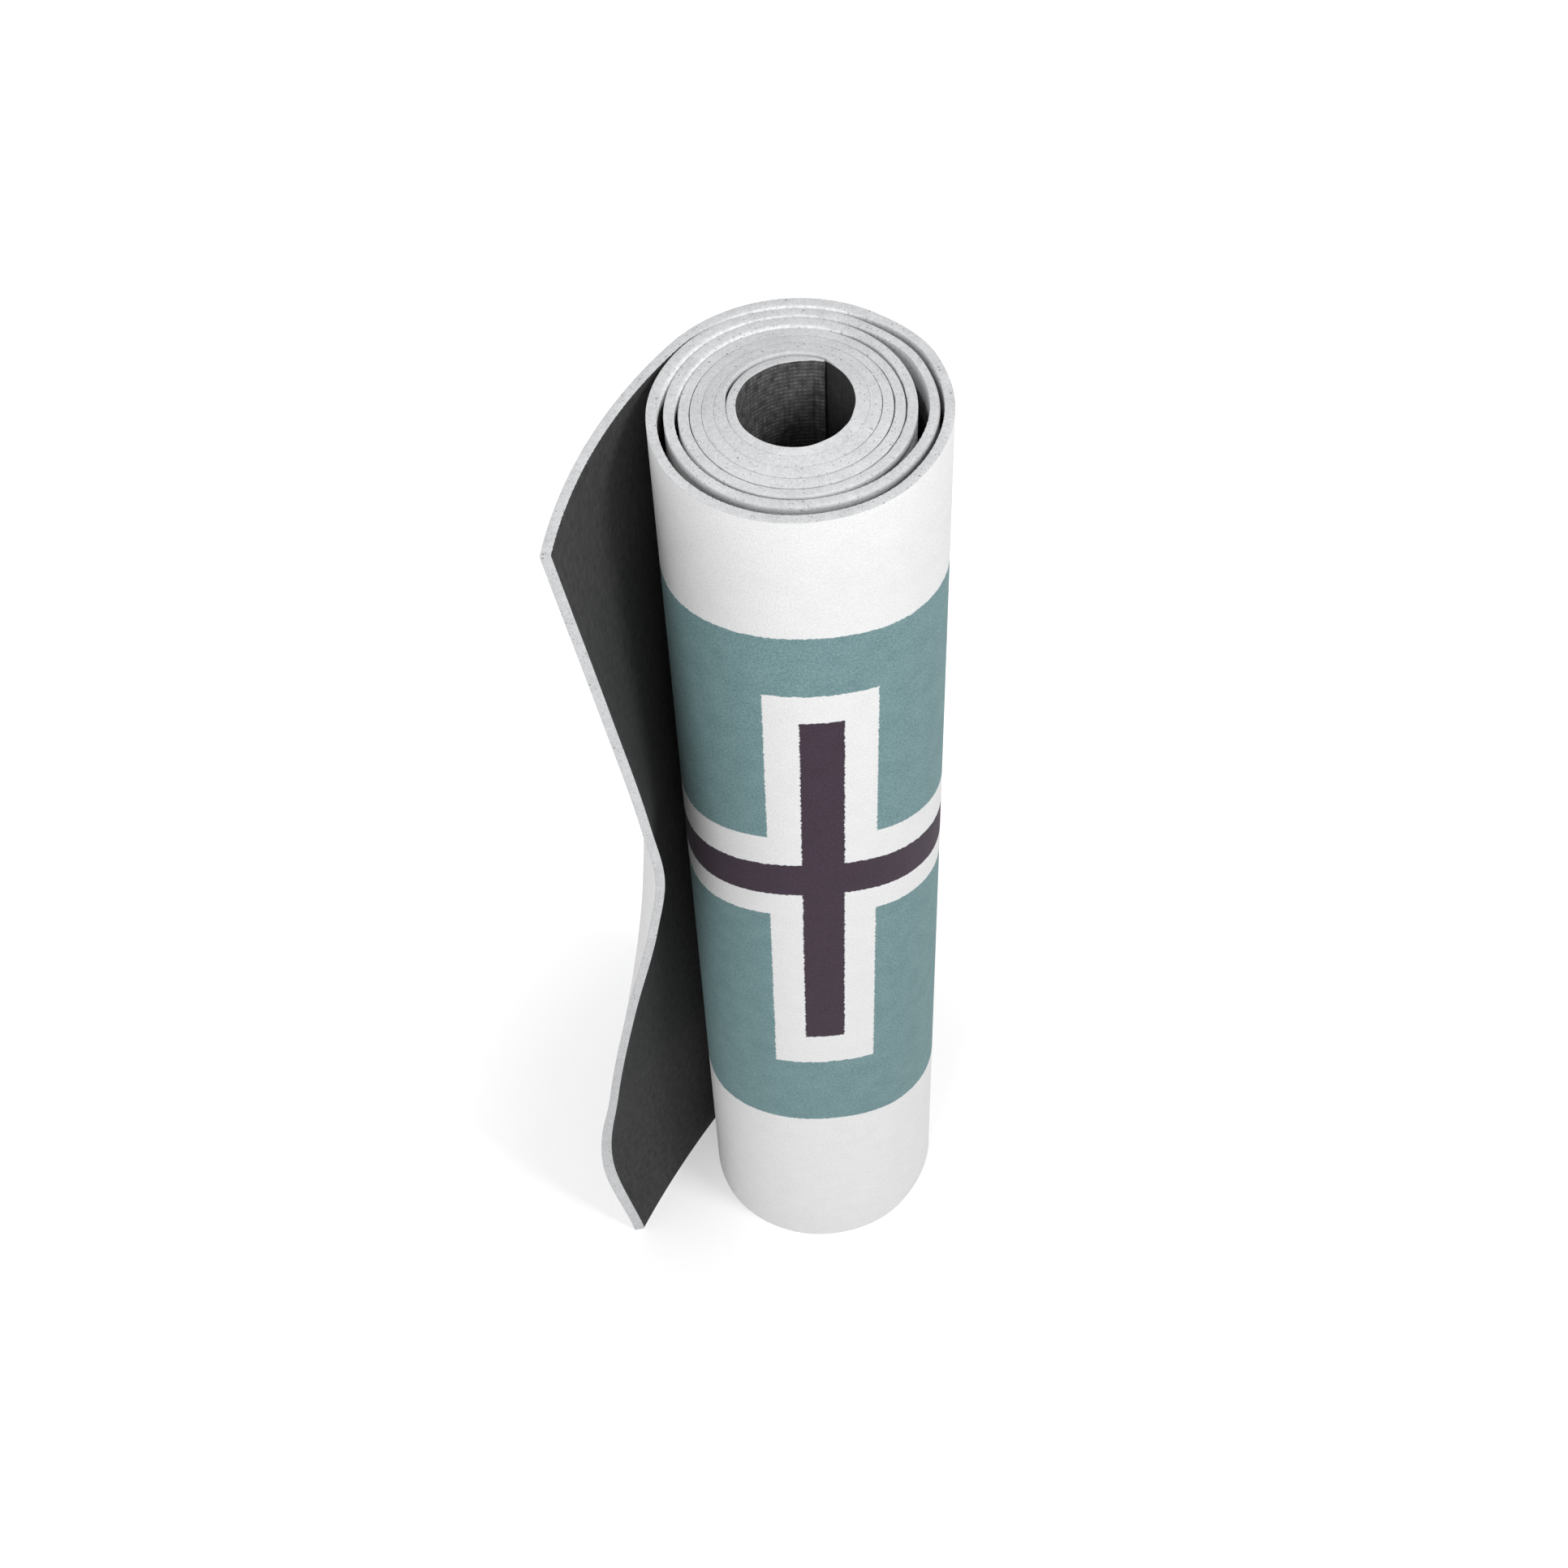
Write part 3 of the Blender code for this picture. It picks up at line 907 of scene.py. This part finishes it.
def cut_foam():
    """Closed-cell foam, sliced: a pale dull grey, with burst cells and grit as fine dark specks.

    The real cells are 0.3 to 0.6 mm across, a little too fine to show, and so they are drawn
    0.8 mm apart, with clusters 1.8 mm apart where the knife has torn them.
    """
    name = "cut_closed_cell_foam"
    made, tree, shader = new_material(name, roughness=0.95, specular=0.15)
    spot = add_node(tree, "ShaderNodeTexCoord").outputs["Object"]
    cells = grain(tree, spot, CELL_SPACING, detail=3.0)
    tears = grain(tree, spot, TEAR_SPACING, detail=3.0)
    clouds = grain(tree, spot, FOAM_CLOUD_SPACING, detail=4.0)
    mottle = weigh(tree, (cells, 0.45), (tears, 0.3), (clouds, 0.25))
    colour = lay_over(tree, srgb("B8B9BB"), (mottle, srgb("E1E2E3")))
    # Painted highlight on the sagged slopes, broken up by the tears
    painted_light = add_node(tree, "ShaderNodeAttribute", attribute_name="painted_light").outputs["Fac"]
    painted_light = sum_up(tree, "MULTIPLY", painted_light, sum_up(tree, "ADD", tears, 0.35))
    fine = grit(tree, spot, *FINE_GRIT)
    specks = sum_up(tree, "MAXIMUM", fine, grit(tree, spot, *COARSE_GRIT))
    faint = sum_up(tree, "MULTIPLY", specks, 0.7)
    # Painted shade on the foam's lip over the print side in the gaps, darker away from the top
    gap_shade = add_node(tree, "ShaderNodeAttribute", attribute_name="gap_shade").outputs["Fac"]
    colour = lay_over(
        tree, colour, (painted_light, srgb("F6F6F6")), (faint, srgb("868688")), (gap_shade, srgb("77787C"))
    )
    relief = sum_up(tree, "SUBTRACT", cells, specks)
    surface(tree, shader, colour, relief, strength=0.6, depth=0.00015)
    return made


def woven_rubber():
    """Black natural rubber cast on an open cloth: matt, with the cloth's threads left in relief.

    The cloth's threads are a little over 1 mm wide, and every second one passes on top, so the
    raised ones lie 2.4 mm apart along the mat and 2.1 mm across it. Dust, where the mat is never
    walked on, and painted light lie pale on those of the innermost turn, fading where the eye is in
    shade, and painted light lies near the top of the open gaps.
    """
    name = "cloth_backed_natural_rubber"
    made, tree, shader = new_material(name, roughness=0.8, specular=0.15)
    mat = add_node(tree, "ShaderNodeUVMap", uv_map="mat").outputs[0]
    threads = []
    for direction, spacing in (("X", UPRIGHT_THREAD_SPACING), ("Y", LEVEL_THREAD_SPACING)):
        scale = WAVE_SPACING / spacing
        waves = (("Vector", mat), ("Scale", scale), ("Distortion", 1.0), ("Detail Scale", 1.0))
        wave = add_node(tree, "ShaderNodeTexWave", waves, bands_direction=direction)
        crest = (("Value", wave.outputs[1]), ("From Min", 0.55), ("From Max", 0.95))
        threads.append(add_node(tree, "ShaderNodeMapRange", crest).outputs[0])
    upright, level = threads

    # A level thread rises in full over an upright one, and about a third as high between them
    crossing = sum_up(tree, "ADD", sum_up(tree, "MULTIPLY", upright, 0.65), 0.35)
    weave = sum_up(tree, "MULTIPLY", level, crossing)
    drawn_out = (("Vector", mat), ("Scale", (1.0, 1 / STREAK_STRETCH, 1.0)))
    streak = add_node(tree, "ShaderNodeMapping", drawn_out).outputs[0]
    streaks = grain(tree, streak, STREAK_SPACING, detail=3.0)
    clouds = grain(tree, mat, RUBBER_CLOUD_SPACING, detail=3.0)
    mottle = sum_up(tree, "MULTIPLY", sum_up(tree, "ADD", streaks, clouds), 0.5)
    colour = lay_over(tree, srgb("323232"), (mottle, srgb("444444")))

    # Dust and painted light by turn, broken up by the clouds and lying on the threads
    place, height, _ = add_node(tree, "ShaderNodeSeparateXYZ", ((0, mat),)).outputs
    coated, bare = float(place_of(FULL_DUST_AND_LIGHT_TURN)), float(place_of(FAINT_DUST_AND_LIGHT_TURN))
    by_turn = (("Value", place), ("From Min", coated), ("From Max", bare))
    by_turn += (("To Min", 1.0), ("To Max", FAINT_DUST_AND_LIGHT))
    dust_and_light = add_node(tree, "ShaderNodeMapRange", by_turn).outputs[0]
    patches = (("Value", clouds), ("From Min", 0.1), ("From Max", 0.9))
    broken = add_node(tree, "ShaderNodeMapRange", patches).outputs[0]
    on_threads = weigh(tree, (sum_up(tree, "MULTIPLY", weave, broken), 0.8), (mottle, 0.45))

    # Painted light in the open gaps, paler towards the top
    low, high = MAT_WIDTH - LAST_GAP_LIGHT_DROP, MAT_WIDTH - FULL_GAP_LIGHT_DROP
    by_height = (("Value", height), ("From Min", low), ("From Max", high))
    near_top = add_node(tree, "ShaderNodeMapRange", by_height).outputs[0]
    gap_light = add_node(tree, "ShaderNodeAttribute", attribute_name="painted_light").outputs["Fac"]
    gap_light = sum_up(tree, "MULTIPLY", gap_light, near_top, sum_up(tree, "ADD", clouds, 0.3))
    dust_and_light = sum_up(tree, "MAXIMUM", sum_up(tree, "MULTIPLY", dust_and_light, on_threads), gap_light)

    lint = sum_up(tree, "MULTIPLY", grit(tree, mat, *LINT), 0.35)
    colour = lay_over(tree, colour, (dust_and_light, srgb("8C8C8C")), (lint, srgb("8A8A8A")))
    relief = sum_up(tree, "ADD", weave, sum_up(tree, "MULTIPLY", mottle, 0.5))
    surface(tree, shader, colour, relief, strength=0.35, depth=0.00010)
    return made


def seen_ray(tree):
    """1 for the rays that show a thing: straight to the camera, mirrored, or through glass."""
    path = add_node(tree, "ShaderNodeLightPath")
    kinds = [path.outputs[f"Is {kind} Ray"] for kind in ("Camera", "Glossy", "Transmission")]
    return sum_up(tree, "MAXIMUM", *kinds)


def dress(made, strip, layer, finish):
    """Gives a piece its material and slot, and hides the solid that it stands for."""
    made.data.materials.append(finish)
    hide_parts(f"{strip}_{layer}")


def bend_over(made):
    """Bakes a piece's transform into its mesh."""
    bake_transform(made)


def make_mat():
    """The nine pieces: each layer's wound part, and its two strips of the loose end."""
    finishes = {"face": printed_suede(), "core": cut_foam(), "backing": woven_rubber()}
    for layer, finish in finishes.items():
        roll = roll_layer(layer)
        dress(roll, "roll", layer, finish)
        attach(roll, "roll")
        root = loose_layer("root_strip", layer, 0, TIP_HINGE_SHARE)
        dress(root, "root_strip", layer, finish)
        bend_over(root)
        tip = loose_layer("tip_strip", layer, TIP_HINGE_SHARE, 1)
        dress(tip, "tip_strip", layer, finish)
        bend_over(tip)


def make_floor():
    """A white sweep: what the camera sees clips to white, save where the mat shades it.

    Its glow eases up with the distance from the mat, because the lamps' light falls off there.
    """
    bpy.ops.mesh.primitive_plane_add(size=FLOOR_SIZE)
    floor = bpy.context.object
    floor.name = "floor"
    made, tree, shader = new_material("white_paper_floor", roughness=1.0, specular=0.0)
    shader.inputs["Base Color"].default_value = srgb("E6E6E6")
    shader.inputs["Emission Color"].default_value = srgb("FFFFFF")
    spot = add_node(tree, "ShaderNodeTexCoord").outputs["Object"]
    away = add_node(tree, "ShaderNodeVectorMath", ((0, spot),), operation="LENGTH")
    eased_up = (("Value", away.outputs["Value"]), ("From Min", GLOW_FROM), ("From Max", GLOW_TO))
    eased_up += (("To Min", NEAR_GLOW), ("To Max", FAR_GLOW))
    glow = add_node(tree, "ShaderNodeMapRange", eased_up, interpolation_type="SMOOTHSTEP")
    strength = sum_up(tree, "MULTIPLY", seen_ray(tree), glow.outputs[0])
    tree.links.new(strength, shader.inputs["Emission Strength"])
    floor.data.materials.append(made)


def add_lamp(name, place, target, size, power):
    """A square lamp of this size and this many watts, turned to its target."""
    light = bpy.data.lights.new(name, "AREA")
    light.size = size
    light.energy = power
    lamp = bpy.data.objects.new(name, light)
    bpy.context.scene.collection.objects.link(lamp)
    lamp.location = place
    lamp.rotation_euler = (Vector(target) - Vector(place)).to_track_quat("-Z", "Y").to_euler()


def make_light():
    """A soft lamp high to the right in front, a weak one to the left, and an even white room."""
    scene = bpy.context.scene
    scene.view_settings.view_transform = "Standard"
    world = bpy.data.worlds.new("white_room")
    scene.world = world
    world.use_nodes = True
    tree = world.node_tree
    room = tree.nodes["Background"]
    room.inputs["Color"].default_value = srgb("FFFFFF")
    seen_white = (("Value", seen_ray(tree)), ("To Min", ROOM_LIGHT), ("To Max", 1.0))
    strength = add_node(tree, "ShaderNodeMapRange", seen_white).outputs[0]
    tree.links.new(strength, room.inputs["Strength"])
    add_lamp("key", place=(0.85, -0.58, 1.50), target=(0, 0, 0.35), size=0.35, power=8.6)
    add_lamp("fill", place=(-0.52, -1.00, 1.25), target=(0, 0, 0.30), size=0.6, power=5.2)


def make_camera():
    """The photograph's camera: distance and height from the roll's axis, pitch, yaw and roll."""
    cos, sin = math.cos, math.sin
    ahead = Vector((0, cos(CAMERA_PITCH), -sin(CAMERA_PITCH)))
    down = Vector((0, -sin(CAMERA_PITCH), -cos(CAMERA_PITCH)))
    right = Vector((1, 0, 0))
    yaw = Matrix.Rotation(CAMERA_YAW, 3, "Z")
    ahead, down, right = yaw @ ahead, yaw @ down, yaw @ right
    rolled_right = right * cos(CAMERA_ROLL) + down * sin(CAMERA_ROLL)
    rolled_down = down * cos(CAMERA_ROLL) - right * sin(CAMERA_ROLL)
    data = bpy.data.cameras.new("camera")
    data.lens = CAMERA_LENS
    camera = bpy.data.objects.new("camera", data)
    bpy.context.scene.collection.objects.link(camera)
    turned = Matrix((rolled_right, -rolled_down, -ahead)).transposed().to_4x4()
    moved = Matrix.Translation((AXIS[0], AXIS[1] - CAMERA_DISTANCE, CAMERA_HEIGHT))
    camera.matrix_world = moved @ turned
    bpy.context.scene.camera = camera


make_camera()
make_mat()
make_floor()
make_light()
